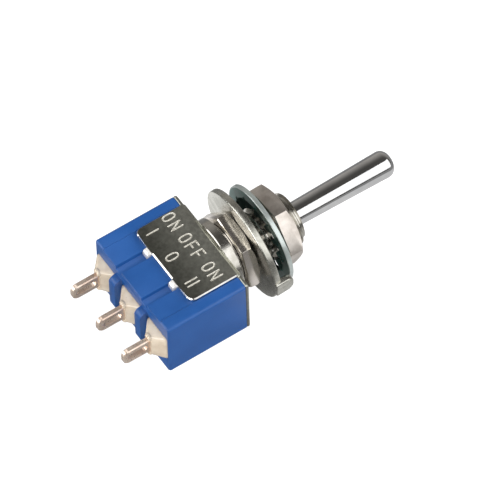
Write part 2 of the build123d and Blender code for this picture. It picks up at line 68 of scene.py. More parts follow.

# ---------------------------------------------------------------- floor and studio
# The switch lies on its back on a white sheet that plating mirrors as a soft grey, with two painted pools of
# light on it that only reflections see. Five soft boxes stand on the near side of the sheet, in a warm grey
# room that is lighter on one side.


class Wire:
    """What leaves a node. Sums on it add their own Math nodes."""

    def __init__(self, bench, socket):
        self.bench = bench
        self.socket = socket

    def sum_of(self, operation, *values):
        return self.bench.add("ShaderNodeMath", {"operation": operation}, dict(enumerate(values)))

    def __add__(self, other):
        return self.sum_of("ADD", self, other)

    def __radd__(self, other):
        return self.sum_of("ADD", other, self)

    def __sub__(self, other):
        return self.sum_of("SUBTRACT", self, other)

    def __rsub__(self, other):
        return self.sum_of("SUBTRACT", other, self)

    def __mul__(self, other):
        return self.sum_of("MULTIPLY", self, other)

    def __rmul__(self, other):
        return self.sum_of("MULTIPLY", other, self)

    def __truediv__(self, other):
        return self.sum_of("DIVIDE", self, other)

    def band(self, low, high):
        """0 below low, 1 above high, and smooth between."""
        limits = {"Value": self, "From Min": low, "From Max": high}
        return self.bench.add("ShaderNodeMapRange", {"interpolation_type": "SMOOTHSTEP"}, limits)

    def out(self, name):
        """Another output of the same node."""
        return Wire(self.bench, self.socket.node.outputs[name])


class Bench:
    """A node tree on which nodes are laid out and wired."""

    def __init__(self, tree):
        self.tree = tree

    def add(self, kind, settings=None, sockets=None, out=0):
        """Adds a node with its settings and what goes into it; gives the wire from one output."""
        node = self.tree.nodes.new(kind)
        for name, value in (settings or {}).items():
            setattr(node, name, value)
        for name, value in (sockets or {}).items():
            if isinstance(value, Wire):
                self.tree.links.new(value.socket, node.inputs[name])
            else:
                node.inputs[name].default_value = value
        return Wire(self, node.outputs[out]) if node.outputs else node

    def blend(self, amount, first, second):
        """A mix of two colours."""
        return self.add("ShaderNodeMix", {"data_type": "RGBA"}, {0: amount, 6: first, 7: second}, 2)


def fresh_material(name):
    """An empty material and the bench for its nodes."""
    material = bpy.data.materials.new(name)
    material.use_nodes = True
    material.node_tree.nodes.clear()
    return material, Bench(material.node_tree)


sheet_level = 6.6 * mm


def stage_sheet():
    """White to the camera, a soft grey in reflections with two painted pools of light, a faint shadow, and
    see-through from behind.
    """
    material, bench = fresh_material("white_sheet")
    rays = bench.add("ShaderNodeLightPath", out="Is Camera Ray")
    seen = rays.sum_of("MAXIMUM", rays, rays.out("Is Glossy Ray"))
    seen = rays.sum_of("MAXIMUM", seen, rays.out("Is Transmission Ray"))
    place = bench.add("ShaderNodeTexCoord", out="Object")
    # painted light: two pools of glow on the sheet, beside the lever and beside the lugs, that only
    # reflections see
    painted_glow = 0.09
    lever_glow_spot, lugs_glow_spot = (0.010, sheet_level, 0.013), (-0.011, sheet_level, -0.004)
    for spot, near, far, level in ((lever_glow_spot, 12.5, 17, 0.38), (lugs_glow_spot, 4, 9, 0.75)):
        reach = bench.add("ShaderNodeVectorMath", {"operation": "DISTANCE"}, {0: place, 1: spot}, "Value")
        painted_glow = painted_glow + (1 - reach.band(near * mm, far * mm)) * level
    strength = rays * 0.93 + (1 - rays) * painted_glow
    glow = bench.add("ShaderNodeEmission", {}, {"Color": (1, 1, 1, 1), "Strength": strength})
    tone = bench.blend(rays, (0.12, 0.12, 0.12, 1), (0.3, 0.3, 0.3, 1))
    paper = bench.add("ShaderNodeBsdfDiffuse", {}, {"Color": tone})
    lit = bench.add("ShaderNodeAddShader", {}, {0: glow, 1: paper})
    plain = bench.add("ShaderNodeBsdfDiffuse", {}, {"Color": (0.8, 0.8, 0.8, 1)})
    front = bench.add("ShaderNodeMixShader", {}, {0: seen, 1: plain, 2: lit})
    clear = bench.add("ShaderNodeBsdfTransparent")
    back = bench.add("ShaderNodeNewGeometry", out="Backfacing")
    whole = bench.add("ShaderNodeMixShader", {}, {0: back, 1: front, 2: clear})
    bench.add("ShaderNodeOutputMaterial", {}, {"Surface": whole})
    return material


half_sheet = 2.0
sheet_mesh = bpy.data.meshes.new("floor")
sheet_corners = [
    (-half_sheet, sheet_level, -half_sheet),
    (half_sheet, sheet_level, -half_sheet),
    (half_sheet, sheet_level, half_sheet),
    (-half_sheet, sheet_level, half_sheet),
]
sheet_mesh.from_pydata(sheet_corners, [], [(0, 1, 2, 3)])
sheet_mesh.materials.append(stage_sheet())
floor = bpy.data.objects.new("floor", sheet_mesh)
scene.collection.objects.link(floor)


def bearing(azimuth, elevation):
    """A direction from degrees round Z, from +X towards +Y, and degrees up towards +Z."""
    round_z, up_z = radians(azimuth), radians(elevation)
    return Vector((cos(round_z) * cos(up_z), sin(round_z) * cos(up_z), sin(up_z)))


room = bpy.data.worlds.new("room")
room.use_nodes = True
room.node_tree.nodes.clear()
room_bench = Bench(room.node_tree)
room_rays = room_bench.add("ShaderNodeLightPath", out="Is Camera Ray")
room_place = room_bench.add("ShaderNodeTexCoord", out="Generated")
lighter_side = {0: room_place, 1: bearing(150, 18)}
window = room_bench.add("ShaderNodeVectorMath", {"operation": "DOT_PRODUCT"}, lighter_side, "Value")
room_level = 0.07 + window.band(-0.2, 1.0) * 0.31
room_grey = room_bench.add(
    "ShaderNodeBackground", {}, {"Color": (1.0, 0.955, 0.90, 1), "Strength": room_level}
)
room_white = room_bench.add("ShaderNodeBackground", {}, {"Color": (1, 1, 1, 1), "Strength": 1.0})
room_seen = room_bench.add("ShaderNodeMixShader", {}, {0: room_rays, 1: room_grey, 2: room_white})
room_bench.add("ShaderNodeOutputWorld", {}, {"Surface": room_seen})
scene.world = room


def soft_box(name, direction, distance, width, height, watts, mirrored=True):
    """A rectangular lamp that faces the switch, and that its plating mirrors or doesn't."""
    lamp = bpy.data.lights.new(name, "AREA")
    lamp.shape = "RECTANGLE"
    lamp.size = width
    lamp.size_y = height
    lamp.energy = watts
    holder = bpy.data.objects.new(name, lamp)
    towards = Vector(direction).normalized()
    holder.location = towards * distance
    holder.rotation_euler = towards.to_track_quat("Z", "Y").to_euler()
    holder.visible_glossy = mirrored
    scene.collection.objects.link(holder)


soft_box("key_lamp", bearing(-42, 26), 0.5, 0.58, 0.75, 1.8)
soft_box("top_lamp", bearing(-70, 60), 0.5, 0.5, 0.4, 2.2, False)
soft_box("low_lamp", bearing(-62, -48), 0.5, 0.3, 0.3, 1.5)
soft_box("side_card", bearing(-99, -14), 0.6, 0.5, 0.22, 0.7)
soft_box("edge_lamp", bearing(-148, -56), 0.5, 0.3, 0.3, 0.9)

# ---------------------------------------------------------------- case
# A blue thermoset moulding with potting wells, barrier tongues and grooves for the frame's tabs. It
# leaves the press with a fine spark-eroded skin and edges broken by the tool.


def put(name, mesh, material, body, slot, *nodes):
    """A finished mesh becomes a piece that rides on a body in place of CAD nodes."""
    piece = bpy.data.objects.new(name, mesh)
    scene.collection.objects.link(piece)
    if material:
        mesh.materials.clear()
        mesh.materials.append(material)
    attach(piece, body)
    if nodes:
        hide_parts(*nodes)


def as_mesh(shape, name):
    """The mesh of a finished shape, which is then freed."""
    mesh = bpy.data.meshes.new(name)
    shape.to_mesh(mesh)
    shape.free()
    return mesh


def crease(shape, angle):
    """Smooth shading that stays sharp where faces meet at more than an angle in degrees."""
    for face in shape.faces:
        face.smooth = True
    for edge in shape.edges:
        edge.smooth = len(edge.link_faces) == 2 and edge.calc_face_angle(0) < radians(angle)


def worked_copy(source, name, radius, segments=2, skipped=0.7):
    """A mesh with its flats joined up and its sharp edges rounded by a radius in mm.

    An edge is left sharp where it meets one shorter than a share, skipped, of the radius.
    """
    shape = bmesh.new()
    shape.from_mesh(source)
    bmesh.ops.remove_doubles(shape, verts=shape.verts, dist=0.0005 * mm)
    bmesh.ops.dissolve_limit(
        shape, angle_limit=radians(0.5), verts=shape.verts, edges=shape.edges, use_dissolve_boundaries=False
    )
    tight = {v for e in shape.edges if e.calc_length() < skipped * radius * mm for v in e.verts}
    sharp = [
        e
        for e in shape.edges
        if len(e.link_faces) == 2 and e.calc_face_angle(0) > radians(24) and not tight & set(e.verts)
    ]
    bmesh.ops.bevel(
        shape,
        geom=sharp,
        offset=radius * mm,
        offset_type="OFFSET",
        segments=segments,
        profile=0.5,
        clamp_overlap=False,
        affect="EDGES",
        miter_outer="ARC",
    )
    bmesh.ops.remove_doubles(shape, verts=shape.verts, dist=0.0005 * mm)
    crease(shape, 32)
    return as_mesh(shape, name)


def moulded_blue():
    """Blue thermoset: faint flow mottle, a satin skin, and fine paler specks in its grain."""
    material, bench = fresh_material("moulded_blue")
    place = bench.add("ShaderNodeTexCoord", out="Object")
    cloud = bench.add("ShaderNodeTexNoise", {}, {"Vector": place, "Scale": 260.0, "Detail": 4.0})
    grain = bench.add("ShaderNodeTexNoise", {}, {"Vector": place, "Scale": 9000.0, "Detail": 2.0})
    colour = bench.blend(cloud.band(0.3, 0.7), (0.0125, 0.080, 0.288, 1), (0.0165, 0.094, 0.328, 1))
    colour = bench.blend(grain.band(0.55, 0.8) * 0.18, colour, (0.05, 0.16, 0.44, 1))
    skin = bench.add("ShaderNodeBump", {}, {"Strength": 0.5, "Distance": 0.006 * mm, "Height": grain})
    surface = bench.add(
        "ShaderNodeBsdfPrincipled",
        {},
        {"Base Color": colour, "Roughness": 0.30 + 0.14 * cloud, "Normal": skin, "IOR": 1.5},
    )
    bench.add("ShaderNodeOutputMaterial", {}, {"Surface": surface})
    return material


case_blue = moulded_blue()
case_mesh = worked_copy(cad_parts["case"].data, "case_moulding", 0.07)
put("case_moulding", case_mesh, case_blue, "base", "case_blue", "case")

# ---------------------------------------------------------------- frame
# One strip of steel, pierced, folded down the case's broad sides and nickel plated. The rolled faces are
# dull and dark, with painted shade deepening towards the legs' ends; the sheared edges shine, and the bent
# tabs carry a painted highlight.


def rolled_nickel():
    """Nickel over cold-rolled steel: olive grey with a fine grain, with painted shade darkening it towards
    the legs' ends.
    """
    material, bench = fresh_material("rolled_nickel")
    place = bench.add("ShaderNodeTexCoord", out="Object")
    rolled = {"Vector": place, "Scale": 2600.0, "Detail": 6.0, "Roughness": 0.7}
    grain = bench.add("ShaderNodeTexNoise", {}, rolled)
    cloud = bench.add("ShaderNodeTexNoise", {}, {"Vector": place, "Scale": 420.0, "Detail": 3.0})
    height = bench.add("ShaderNodeSeparateXYZ", {}, {"Vector": place}, "Z")
    # painted shade: the legs are painted darker towards their ends and lighter up at the fold
    upper = height.band(-10.8 * mm, -5.0 * mm)
    dull_and_shaded = bench.blend(grain.band(0.3, 0.72), (0.135, 0.137, 0.118, 1), (0.205, 0.208, 0.18, 1))
    painted_lit_tone = bench.blend(grain.band(0.3, 0.72), (0.425, 0.43, 0.38, 1), (0.59, 0.595, 0.53, 1))
    colour = bench.blend(upper, dull_and_shaded, painted_lit_tone)
    colour = bench.blend(cloud.band(0.4, 0.75) * 0.2, colour, (0.32, 0.31, 0.275, 1))
    skin = bench.add("ShaderNodeBump", {}, {"Strength": 0.35, "Distance": 0.004 * mm, "Height": grain})
    surface = bench.add(
        "ShaderNodeBsdfPrincipled",
        {},
        {"Base Color": colour, "Metallic": 1.0, "Roughness": 0.30 + 0.16 * grain, "Normal": skin},
    )
    bench.add("ShaderNodeOutputMaterial", {}, {"Surface": surface})
    return material


def bright_metal(name, dark, pale, low, spread, scale=700.0, relief=0.002, metallic=1.0):
    """A plated or polished metal: two close tones clouded together, gloss that varies, slight relief."""
    material, bench = fresh_material(name)
    place = bench.add("ShaderNodeTexCoord", out="Object")
    clouded = {"Vector": place, "Scale": scale, "Detail": 5.0, "Roughness": 0.6}
    cloud = bench.add("ShaderNodeTexNoise", {}, clouded)
    fine = bench.add("ShaderNodeTexNoise", {}, {"Vector": place, "Scale": scale * 6, "Detail": 3.0})
    colour = bench.blend(cloud.band(0.35, 0.68), dark, pale)
    uneven = cloud * 0.6 + fine * 0.4
    skin = bench.add("ShaderNodeBump", {}, {"Strength": 0.4, "Distance": relief * mm, "Height": uneven})
    surface = bench.add(
        "ShaderNodeBsdfPrincipled",
        {},
        {"Base Color": colour, "Metallic": metallic, "Roughness": low + spread * fine, "Normal": skin},
    )
    bench.add("ShaderNodeOutputMaterial", {}, {"Surface": surface})
    return material


def read_off(maker, name):
    """The plain mesh that an object's modifiers make; the object itself is thrown away."""
    graph = bpy.context.evaluated_depsgraph_get()
    made = bpy.data.meshes.new_from_object(maker.evaluated_get(graph))
    made.name = name
    bpy.data.objects.remove(maker)
    return made


def combined(first, second, operation, name, angle=32):
    """Two closed meshes joined or cut with an exact boolean, cleaned and shaded."""
    base = bpy.data.objects.new(name, first)
    tool = bpy.data.objects.new(name + "_tool", second)
    scene.collection.objects.link(base)
    scene.collection.objects.link(tool)
    modifier = base.modifiers.new("shape", "BOOLEAN")
    modifier.operation = operation
    modifier.object = tool
    modifier.solver = "EXACT"
    modifier.use_self = True
    modifier.material_mode = "TRANSFER"
    mesh = read_off(base, name)
    bpy.data.objects.remove(tool)
    shape = bmesh.new()
    shape.from_mesh(mesh)
    bmesh.ops.remove_doubles(shape, verts=shape.verts, dist=0.0005 * mm)
    crease(shape, angle)
    shape.to_mesh(mesh)
    shape.free()
    return mesh


def walls(shape, rings, capped=True):
    """Faces between neighbouring rings of points, and over both ends."""
    for lower, upper in zip(rings, rings[1:]):
        for step in range(len(lower)):
            after = (step + 1) % len(lower)
            shape.faces.new((lower[step], lower[after], upper[after], upper[step]))
    if capped:
        shape.faces.new(rings[0])
        shape.faces.new(rings[-1])
    bmesh.ops.recalc_face_normals(shape, faces=shape.faces)


def tube(points, radius, closed, sides=10):
    """A round bar through points in mm: a closed loop, or a straight run with domed ends."""
    shape = bmesh.new()
    rings = []
    count = len(points)
    if closed:
        for index in range(count):
            here = Vector(points[index])
            along = (Vector(points[(index + 1) % count]) - Vector(points[index - 1])).normalized()
            side = along.cross(Vector((0, 1, 0))).normalized()
            rings.append((here, side, Vector((0, 1, 0)), radius))
    else:
        start, end = Vector(points[0]), Vector(points[1])
        along = (end - start).normalized()
        side = along.cross(Vector((0, 1, 0))).normalized()
        for step in range(-4, 5):
            lean = radians(step * 21)
            anchor = start if step <= 0 else end
            if step == 0:
                rings.append((start, side, Vector((0, 1, 0)), radius))
                rings.append((end, side, Vector((0, 1, 0)), radius))
                continue
            rings.append((anchor + along * radius * sin(lean), side, Vector((0, 1, 0)), radius * cos(lean)))
    loops = []
    for centre, side, up, size in rings:
        loop = []
        for step in range(sides):
            turn = 2 * pi * step / sides
            loop.append(shape.verts.new((centre + (side * cos(turn) + up * sin(turn)) * size) * mm))
        loops.append(loop)
    walls(shape, loops + [loops[0]] if closed else loops, not closed)
    return shape


def bright_cut():
    """The floor of a stamped letter, where the tool has burnished the nickel pale."""
    material, bench = fresh_material("bright_cut")
    place = bench.add("ShaderNodeTexCoord", out="Object")
    speck = bench.add("ShaderNodeTexNoise", {}, {"Vector": place, "Scale": 4200.0, "Detail": 3.0})
    colour = bench.blend(speck.band(0.35, 0.65), (0.50, 0.48, 0.42, 1), (0.74, 0.72, 0.65, 1))
    skin = bench.add("ShaderNodeBump", {}, {"Strength": 0.4, "Distance": 0.003 * mm, "Height": speck})
    surface = bench.add(
        "ShaderNodeBsdfPrincipled",
        {},
        {"Base Color": colour, "Metallic": 0.4, "Roughness": 0.35 + 0.2 * speck, "Normal": skin},
    )
    bench.add("ShaderNodeOutputMaterial", {}, {"Surface": surface})
    return material


rolled_face = rolled_nickel()
sheared_edge = bright_metal("sheared_edge", (0.66, 0.65, 0.62, 1), (0.84, 0.83, 0.80, 1), 0.16, 0.16)
# painted highlight: the bent tabs get a pale, half-diffuse plate so that they look lit
tab_painted_highlight = bright_metal(
    "tab_painted_highlight", (0.86, 0.83, 0.79, 1), (0.97, 0.95, 0.92, 1), 0.3, 0.15, scale=900.0, metallic=0.55
)
leg_end = -10.45
leg_half_width = 5.2
leg_outer, legs_from = 4.1, 3.4
tab_from, tab_to = 1.8, 2.9
plate_low = -5.2
corner_radius = 0.4
spare = 0.2

# the blanking tool rounds the legs' outer corners: what it leaves out of each square corner is cut away
waste = bmesh.new()
for side in (-1, 1):
    centre_x, centre_z = leg_half_width - corner_radius, leg_end + corner_radius
    outline = [(centre_x, leg_end - spare), (leg_half_width + spare, leg_end - spare)]
    outline.append((leg_half_width + spare, centre_z))
    for step in range(7):
        turn = pi / 2 * step / 6
        outline.append((centre_x + corner_radius * cos(turn), centre_z - corner_radius * sin(turn)))
    rows = []
    for depth in (-leg_outer - spare, leg_outer + spare):
        rows.append([waste.verts.new((side * x * mm, depth * mm, z * mm)) for x, z in outline])
    walls(waste, rows)
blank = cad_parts["frame"].data.copy()
blank = combined(blank, as_mesh(waste, "waste"), "DIFFERENCE", "frame_blank")
frame_mesh = worked_copy(blank, "frame_eased", 0.11, 1, 0.35)
frame_mesh.materials.clear()
for finish in (rolled_face, sheared_edge, tab_painted_highlight):
    frame_mesh.materials.append(finish)
for polygon in frame_mesh.polygons:
    middle = polygon.center / mm
    across = abs(polygon.normal.x) > 0.35
    below = polygon.normal.z < -0.35 and abs(middle.y) > legs_from
    polygon.material_index = 1 if (across or below) and middle.z <= plate_low else 0
    # the bent tabs take the painted highlight
    if middle.z < leg_end + 0.02 and tab_from < abs(middle.x) < tab_to:
        polygon.material_index = 2

# the lever's positions are stamped in the marked leg, and under each the poles that it closes
leg_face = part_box("frame")[0].y / mm
stroke_radius = 0.11
letter_width, letter_height = 0.66, 1.32
squareness = 2.8
bowl = []
for step in range(28):
    turn = 2 * pi * (step + 0.5) / 28
    size = 0.5 * (abs(cos(turn)) ** squareness + abs(sin(turn)) ** squareness) ** (-1 / squareness)
    bowl.append((0.5 + size * cos(turn), 0.5 + size * sin(turn)))
letters = {
    "O": [bowl],
    "N": [[(0, 0), (0, 1)], [(0, 1), (1, 0)], [(1, 0), (1, 1)]],
    "F": [[(0, 0), (0, 1)], [(0, 1), (1, 1)], [(0, 0.5), (0.8, 0.5)]],
    "I": [[(0.5, 0), (0.5, 1)]],
}
first_line = (("O", -4.9), ("N", -3.64), ("O", -1.84), ("F", -0.64), ("F", 0.52), ("O", 2.36), ("N", 3.58))
second_line = (("I", -4.3), ("O", -0.7), ("I", 2.75), ("I", 3.25))
stamp = bmesh.new()
for line, foot in ((first_line, -7.3), (second_line, -9.65)):
    for sign, left in line:
        for stroke in letters[sign]:
            run = []
            for across, up in stroke:
                run.append((left + letter_width * across, leg_face - 0.05, foot + letter_height * up))
            bar = as_mesh(tube(run, stroke_radius, len(run) > 2), "stroke")
            stamp.from_mesh(bar)
            bpy.data.meshes.remove(bar)

# the edge between the tabs is broken with a file, like the rest of the leg's outline
broken = 0.13
file_width, file_length = 0.4, 3.66
file_lean = file_width / 2 * sqrt(0.5)
for side in (-1, 1):
    file_y = side * (leg_outer - broken / 2 + file_lean)
    file_centre = Vector((0, file_y, leg_end + broken / 2 - file_lean))
    file_place = Matrix.Translation(file_centre * mm) @ Matrix.Rotation(pi / 4, 4, "X")
    file_size = Matrix.Diagonal((file_length * mm, file_width * mm, file_width * mm, 1))
    filed = bmesh.ops.create_cube(stamp, size=1.0, matrix=file_place @ file_size)
    for face in {face for vertex in filed["verts"] for face in vertex.link_faces}:
        face.material_index = 1
stamp_mesh = as_mesh(stamp, "stamp")
stamp_mesh.materials.append(bright_cut())
stamp_mesh.materials.append(sheared_edge)
frame_mesh = combined(frame_mesh, stamp_mesh, "DIFFERENCE", "stamped_frame")
put("stamped_frame", frame_mesh, None, "base", "frame_nickel", "frame")

# ---------------------------------------------------------------- bushing
# Turned brass, nickel plated, with a polished collar, an M6 thread of 0.75 mm pitch rolled on its
# neck, and a keyway milled down the thread.


def with_nodes(mesh, tree, values, name):
    """Runs a mesh through a geometry tree with the given inputs."""
    maker = bpy.data.objects.new(name, mesh)
    scene.collection.objects.link(maker)
    modifier = maker.modifiers.new("maker", "NODES")
    modifier.node_group = tree
    for item in tree.interface.items_tree:
        if item.item_type == "SOCKET" and item.in_out == "INPUT" and item.name in values:
            modifier[item.identifier] = values[item.name]
    return read_off(maker, name)


def geometry_tree(name, inputs):
    """An empty geometry tree with named inputs; gives its bench and the wires of the inputs."""
    tree = bpy.data.node_groups.new(name, "GeometryNodeTree")
    tree.interface.new_socket("Geometry", in_out="INPUT", socket_type="NodeSocketGeometry")
    for label, kind in inputs.items():
        tree.interface.new_socket(label, in_out="INPUT", socket_type=f"NodeSocket{kind}")
    tree.interface.new_socket("Geometry", in_out="OUTPUT", socket_type="NodeSocketGeometry")
    bench = Bench(tree)
    entry = bench.add("NodeGroupInput")
    wires = {label: entry.out(label) for label in inputs}
    wires["Geometry"] = entry
    return bench, wires


thread_labels = dict.fromkeys(("Pitch", "Turns", "Crest", "Root", "Bottom"), "Float")
thread_bench, thread_in = geometry_tree("thread_cutter", {**thread_labels, "Steel": "Material"})
groove_height = (thread_in["Crest"] - thread_in["Root"]) * 1.15
groove_path = thread_in["Root"] + groove_height / 2
helix = thread_bench.add(
    "GeometryNodeCurveSpiral",
    {},
    {
        "Resolution": 72,
        "Rotations": thread_in["Turns"],
        "Start Radius": groove_path,
        "End Radius": groove_path,
        "Height": thread_in["Pitch"] * thread_in["Turns"],
        "Reverse": True,
    },
)
lift = thread_bench.add("ShaderNodeCombineXYZ", {}, {"Z": thread_in["Bottom"]})
helix = thread_bench.add("GeometryNodeSetPosition", {}, {"Geometry": helix, "Offset": lift})
helix = thread_bench.add("GeometryNodeSetCurveNormal", {"mode": "Z_UP"}, {"Curve": helix})
groove = thread_bench.add(
    "GeometryNodeCurvePrimitiveQuadrilateral",
    {"mode": "TRAPEZOID"},
    {
        "Height": groove_height,
        "Bottom Width": thread_in["Pitch"] * 0.16,
        "Top Width": thread_in["Pitch"] * 0.16 + groove_height * 2 * tan(radians(30)),
        "Offset": 0.0,
    },
)
groove = thread_bench.add("GeometryNodeTransform", {}, {"Geometry": groove, "Rotation": (0, 0, -pi / 2)})
swept = thread_bench.add(
    "GeometryNodeCurveToMesh", {}, {"Curve": helix, "Profile Curve": groove, "Fill Caps": True}
)
swept = thread_bench.add("GeometryNodeSetMaterial", {}, {"Geometry": swept, "Material": thread_in["Steel"]})
thread_bench.add("NodeGroupOutput", {}, {"Geometry": swept})


def lathe(profile, name, turns=96, angle=28):
    """A closed shape spun about Z from (radius, height) points in mm, given upwards on the outside."""
    shape = bmesh.new()
    rings = []
    for radius, height in profile:
        if radius < 1e-6:
            rings.append([shape.verts.new((0, 0, height * mm))] * turns)
            continue
        ring = []
        for step in range(turns):
            turn = 2 * pi * step / turns
            ring.append(shape.verts.new((radius * cos(turn) * mm, radius * sin(turn) * mm, height * mm)))
        rings.append(ring)
    closed = profile[0][0] > 1e-6
    pairs = list(zip(rings, rings[1:] + ([rings[0]] if closed else [])))
    for low, high in pairs:
        for step in range(turns):
            after = (step + 1) % turns
            corners = []
            for vertex in (low[step], low[after], high[after], high[step]):
                if vertex not in corners:
                    corners.append(vertex)
            if len(corners) > 2:
                shape.faces.new(corners)
    bmesh.ops.recalc_face_normals(shape, faces=shape.faces)
    crease(shape, angle)
    return as_mesh(shape, name)


turned_nickel = bright_metal("turned_nickel", (0.55, 0.53, 0.48, 1), (0.74, 0.72, 0.67, 1), 0.14, 0.12)
pitch = 0.75
thread_sizes = {"Pitch": pitch * mm, "Turns": 10.6, "Crest": 2.97 * mm, "Root": 2.51 * mm}
thread_sizes.update({"Bottom": -2.55 * mm, "Steel": turned_nickel})
groove_mesh = with_nodes(bpy.data.meshes.new("groove"), thread_bench.tree, thread_sizes, "thread_groove")
collar_low, collar_high, collar_radius = -4.35, -3.35, 4.3
collar_inner = 3.9
broken_rim = 0.08
collar_profile = [(collar_inner, collar_low), (collar_radius - broken_rim, collar_low)]
collar_profile += [(collar_radius, collar_low + broken_rim), (collar_radius, collar_high - broken_rim)]
collar_profile += [(collar_radius - broken_rim, collar_high), (collar_inner, collar_high)]
collar_ring = lathe(collar_profile, "collar_ring", 128)
neck_radius, neck_high, past_collar = 3.35, -2.7, 4.6
neck = [(neck_radius, collar_high), (past_collar, collar_high)]
neck += [(past_collar, neck_high), (neck_radius, neck_high)]
bushing_mesh = worked_copy(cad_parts["bushing"].data, "bushing_blank", 0.04)
bushing_mesh = combined(bushing_mesh, lathe(neck, "undercut", 128), "DIFFERENCE", "necked_bushing")
bushing_mesh = combined(bushing_mesh, collar_ring, "UNION", "collared_bushing")
bushing_mesh = combined(bushing_mesh, groove_mesh, "DIFFERENCE", "threaded_bushing")
put("threaded_bushing", bushing_mesh, turned_nickel, "base", "bushing_nickel", "bushing")

# ---------------------------------------------------------------- lever
# One turned and polished brass piece under bright chrome: a tapered bat with a rounded end, the ball
# it swings on, and the hollow stem that holds the plunger.


def arc(centre_radius, centre_height, radius, start, end, steps):
    """Points of an arc in the lathe's profile, angles in degrees from +radius towards +height."""
    points = []
    for step in range(steps + 1):
        angle = radians(start + (end - start) * step / steps)
        points.append((centre_radius + radius * cos(angle), centre_height + radius * sin(angle)))
    return points


ball_height = 1.35
ball_radius = 2.08
stem_radius, stem_bore, stem_low, bore_top = 1.15, 0.8, -7.65, -1.35
bat_neck = 1.27
tip_round, tip_radius, tip_top = 0.96, 1.48, 17.22
ball_low = -180 / pi * asin(sqrt(ball_radius**2 - stem_radius**2) / ball_radius)
ball_high = 180 / pi * asin(sqrt(ball_radius**2 - bat_neck**2) / ball_radius)
lever_profile = [(0, bore_top), (stem_bore, bore_top), (stem_bore, stem_low + 0.05), (0.84, stem_low)]
lever_profile += [(stem_radius - 0.04, stem_low), (stem_radius, stem_low + 0.05)]
lever_profile += arc(0, ball_height, ball_radius, ball_low, ball_high, 20)
lever_profile += [(bat_neck, 4.0), (bat_neck, 5.05), (1.28, 5.4), (1.37, 10.7)]
lever_profile += arc(tip_radius - tip_round, tip_top - tip_round, tip_round, 0, 90, 14)
lever_profile += [(0.25, tip_top), (0, tip_top)]
bright_chrome = bright_metal(
    "bright_chrome", (0.72, 0.72, 0.73, 1), (0.84, 0.84, 0.84, 1), 0.05, 0.06, scale=300.0, relief=0.001
)
pin_radius, past_ball = 0.4, 3.0
pin_profile = [(0, -past_ball), (pin_radius, -past_ball), (pin_radius, past_ball), (0, past_ball)]
pin_hole = lathe(pin_profile, "pin_hole", 32)
pin_hole.transform(Matrix.Translation((0, 0, ball_height * mm)) @ Matrix.Rotation(pi / 2, 4, "X"))
lever_mesh = combined(lathe(lever_profile, "lever_blank"), pin_hole, "DIFFERENCE", "chromed_lever")
put("chromed_lever", lever_mesh, bright_chrome, "handle", "lever_chrome", "lever")

# ---------------------------------------------------------------- locating washer
# A thick stamped steel ring with rolled-over edges, tumbled and nickel plated, which lies loose on the
# inner nut. Its key lies in the bushing's keyway, and its tab is bent up to go through the panel.

washer_plate = bright_metal(
    "washer_plate", (0.50, 0.495, 0.44, 1), (0.70, 0.69, 0.63, 1), 0.2, 0.16, scale=900.0
)
washer_top, washer_foot, washer_bore, washer_rim = 0.0, -0.75, 3.06, 6.25
washer_drop, washer_tilt = 0.24, 4.3
roll = 0.16
washer_profile = [(washer_bore, washer_foot), (washer_rim - roll, washer_foot)]
washer_profile += arc(washer_rim - roll, washer_foot + roll, roll, -75, 0, 4)
washer_profile += arc(washer_rim - roll, washer_top - roll, roll, 0, 90, 5) + [(washer_bore, washer_top)]
washer_mesh = lathe(washer_profile, "washer_ring", 160)


def rounded_plate(name, width, low, high, corner, inner, outer, turn, ease):
    """A plate that stands on a radius: top corners rounded, all edges eased, lengths in mm."""
    outline = [(-width / 2, low), (width / 2, low)]
    outline += arc(width / 2 - corner, high - corner, corner, 0, 90, 8)
    outline += arc(corner - width / 2, high - corner, corner, 90, 180, 8)
    shape = bmesh.new()
    rows = [[shape.verts.new((depth * mm, t * mm, z * mm)) for t, z in outline] for depth in (inner, outer)]
    walls(shape, rows)
    if ease:
        rims = [e for e in shape.edges if e.calc_face_angle(0) > radians(40)]
        bmesh.ops.bevel(shape, geom=rims, offset=ease * mm, segments=3, profile=0.5, affect="EDGES")
    shape.transform(Matrix.Rotation(radians(turn), 4, "Z"))
    return as_mesh(shape, name)


def laid(mesh, drop, tilt):
    """Lays a loose washer down: lower by drop in mm, and tipped about X by tilt in degrees."""
    mesh.transform(Matrix.Translation((0, 0, -drop * mm)) @ Matrix.Rotation(radians(tilt), 4, "X"))


key_size = {"width": 0.82, "low": -0.70, "high": -0.05, "corner": 0.05, "inner": 2.58, "outer": 3.5}
tab_size = {"width": 2.3, "low": -0.72, "high": 1.35, "corner": 0.85, "inner": 5.72, "outer": 6.45}
washer_key = rounded_plate("washer_key", turn=33, ease=0, **key_size)
washer_tab = rounded_plate("washer_tab", turn=7, ease=0.16, **tab_size)
washer_mesh = combined(washer_mesh, washer_key, "UNION", "washer_ring_and_key")
washer_mesh = combined(washer_mesh, washer_tab, "UNION", "keyed_washer")
laid(washer_mesh, washer_drop, washer_tilt)
put("keyed_washer", washer_mesh, washer_plate, "base", "washer_steel", "locating_washer")
